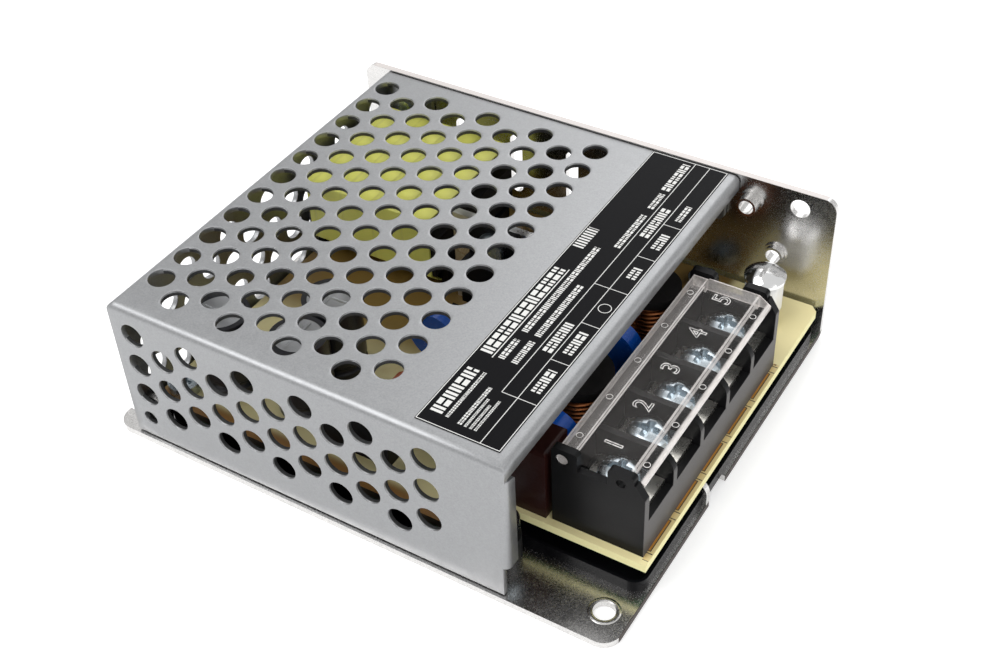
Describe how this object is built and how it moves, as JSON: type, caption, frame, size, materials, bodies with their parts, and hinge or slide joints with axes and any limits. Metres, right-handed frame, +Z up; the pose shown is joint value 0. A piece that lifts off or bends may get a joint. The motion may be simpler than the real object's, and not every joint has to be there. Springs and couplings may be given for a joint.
{
  "type": "led power supply",
  "caption": "Enclosed switch-mode power supply: perforated metal cover on a folded chassis, with a barrier terminal block under a clear hinged lid.",
  "frame": {"origin": "bottom centre of the base plate, which is the bottom centre of the bounding box", "axes": "+X from the rear ear to the terminal end, +Y from the cover's side wall to the chassis wall, +Z up"},
  "size_m": [0.098, 0.082, 0.0303],
  "materials": {
    "tinned_steel": "bright tin plate",
    "galvanised_steel": "fine-grained zinc coat",
    "zinc_steel": "zinc plated",
    "label_film": "matt black film with a thin white border",
    "black_film": "semi-gloss film",
    "board_laminate": "cream laminate",
    "nylon": "plain",
    "black_moulding": "moulded",
    "tinned_brass": "tin plated",
    "clear_moulding": "clear",
    "white_moulding": "moulded",
    "bright_metal": "polished",
    "ferrite": "sintered",
    "copper_wire": "enamelled",
    "yellow_tape": "thin film",
    "capacitor_can": "sleeved can",
    "red_coating": "dipped",
    "orange_coating": "dipped",
    "blue_coating": "dipped",
    "green_coating": "dipped",
    "fuse_glass": "clear",
    "aluminium_sheet": "plain",
    "grey_pad": "matt",
    "resistor_coating": "dipped"
  },
  "bodies": {
    "base": {"chassis": "tinned_steel", "cover": "galvanised_steel", "cover_screws": "zinc_steel", "rating_label": "label_film", "insulating_tray": "black_film", "circuit_board": "board_laminate", "board_spacers": "nylon", "board_screws": "zinc_steel", "terminal_housing": "black_moulding", "terminal_contacts": "tinned_brass", "trimmer_body": "white_moulding", "trimmer_leads": "tinned_brass", "transformer_core": "ferrite", "transformer_bobbin": "black_moulding", "transformer_winding": "copper_wire", "transformer_tape": "yellow_tape", "bulk_capacitors": "capacitor_can", "output_capacitors": "capacitor_can", "x_capacitor": "red_coating", "snubber_capacitor": "orange_coating", "varistor": "blue_coating", "y_capacitors": "blue_coating", "thermistor": "green_coating", "fuse": "fuse_glass", "input_choke_core": "ferrite", "input_choke_winding": "copper_wire", "output_choke_core": "ferrite", "output_choke_winding": "copper_wire", "bridge_rectifier": "black_moulding", "heatsink": "aluminium_sheet", "switching_transistor": "black_moulding", "output_diode": "black_moulding", "diode_insulator": "grey_pad", "device_screws": "zinc_steel", "optocoupler": "black_moulding", "control_chip": "black_moulding", "resistors": "resistor_coating", "small_diodes": "black_moulding", "component_leads": "tinned_brass"},
    "lid": {"terminal_lid": "clear_moulding"},
    "clamp_1": {"clamp_washer_1": "zinc_steel"},
    "screw_1": {"terminal_screw_1": "zinc_steel"},
    "clamp_2": {"clamp_washer_2": "zinc_steel"},
    "screw_2": {"terminal_screw_2": "zinc_steel"},
    "clamp_3": {"clamp_washer_3": "zinc_steel"},
    "screw_3": {"terminal_screw_3": "zinc_steel"},
    "clamp_4": {"clamp_washer_4": "zinc_steel"},
    "screw_4": {"terminal_screw_4": "zinc_steel"},
    "clamp_5": {"clamp_washer_5": "zinc_steel"},
    "screw_5": {"terminal_screw_5": "zinc_steel"},
    "rotor": {"trimmer_rotor": "bright_metal"}
  },
  "joints": [
    {"name": "lid_hinge", "type": "hinge", "parent": "base", "child": "lid", "pos_m": [0.0333, -0.0034, 0.0216], "axis": [0, -1, 0], "range_deg": [0, 88]},
    {"name": "clamp_1_lift", "type": "slide", "parent": "base", "child": "clamp_1", "axis": [0, 0, 1], "range_m": [0, 0.00165]},
    {"name": "screw_1_turn", "type": "hinge", "parent": "clamp_1", "child": "screw_1", "pos_m": [0.0402, -0.0224, 0.0175], "axis": [0, 0, 1], "range_deg": [0, 1000]},
    {"name": "clamp_2_lift", "type": "slide", "parent": "base", "child": "clamp_2", "axis": [0, 0, 1], "range_m": [0, 0.00165]},
    {"name": "screw_2_turn", "type": "hinge", "parent": "clamp_2", "child": "screw_2", "pos_m": [0.0402, -0.0129, 0.0175], "axis": [0, 0, 1], "range_deg": [0, 1000]},
    {"name": "clamp_3_lift", "type": "slide", "parent": "base", "child": "clamp_3", "axis": [0, 0, 1], "range_m": [0, 0.00165]},
    {"name": "screw_3_turn", "type": "hinge", "parent": "clamp_3", "child": "screw_3", "pos_m": [0.0402, -0.0034, 0.0175], "axis": [0, 0, 1], "range_deg": [0, 1000]},
    {"name": "clamp_4_lift", "type": "slide", "parent": "base", "child": "clamp_4", "axis": [0, 0, 1], "range_m": [0, 0.00165]},
    {"name": "screw_4_turn", "type": "hinge", "parent": "clamp_4", "child": "screw_4", "pos_m": [0.0402, 0.0061, 0.0175], "axis": [0, 0, 1], "range_deg": [0, 1000]},
    {"name": "clamp_5_lift", "type": "slide", "parent": "base", "child": "clamp_5", "axis": [0, 0, 1], "range_m": [0, 0.00165]},
    {"name": "screw_5_turn", "type": "hinge", "parent": "clamp_5", "child": "screw_5", "pos_m": [0.0402, 0.0156, 0.0175], "axis": [0, 0, 1], "range_deg": [0, 1000]},
    {"name": "trimmer_turn", "type": "hinge", "parent": "base", "child": "rotor", "pos_m": [0.0403, 0.032, 0.0165], "axis": [0, 0, 1], "range_deg": [-110, 110]}
  ],
  "couplings": [
    {"joint": "screw_1_turn", "follows": "clamp_1_lift", "rad_per_m": 10472},
    {"joint": "screw_2_turn", "follows": "clamp_2_lift", "rad_per_m": 10472},
    {"joint": "screw_3_turn", "follows": "clamp_3_lift", "rad_per_m": 10472},
    {"joint": "screw_4_turn", "follows": "clamp_4_lift", "rad_per_m": 10472},
    {"joint": "screw_5_turn", "follows": "clamp_5_lift", "rad_per_m": 10472}
  ]
}
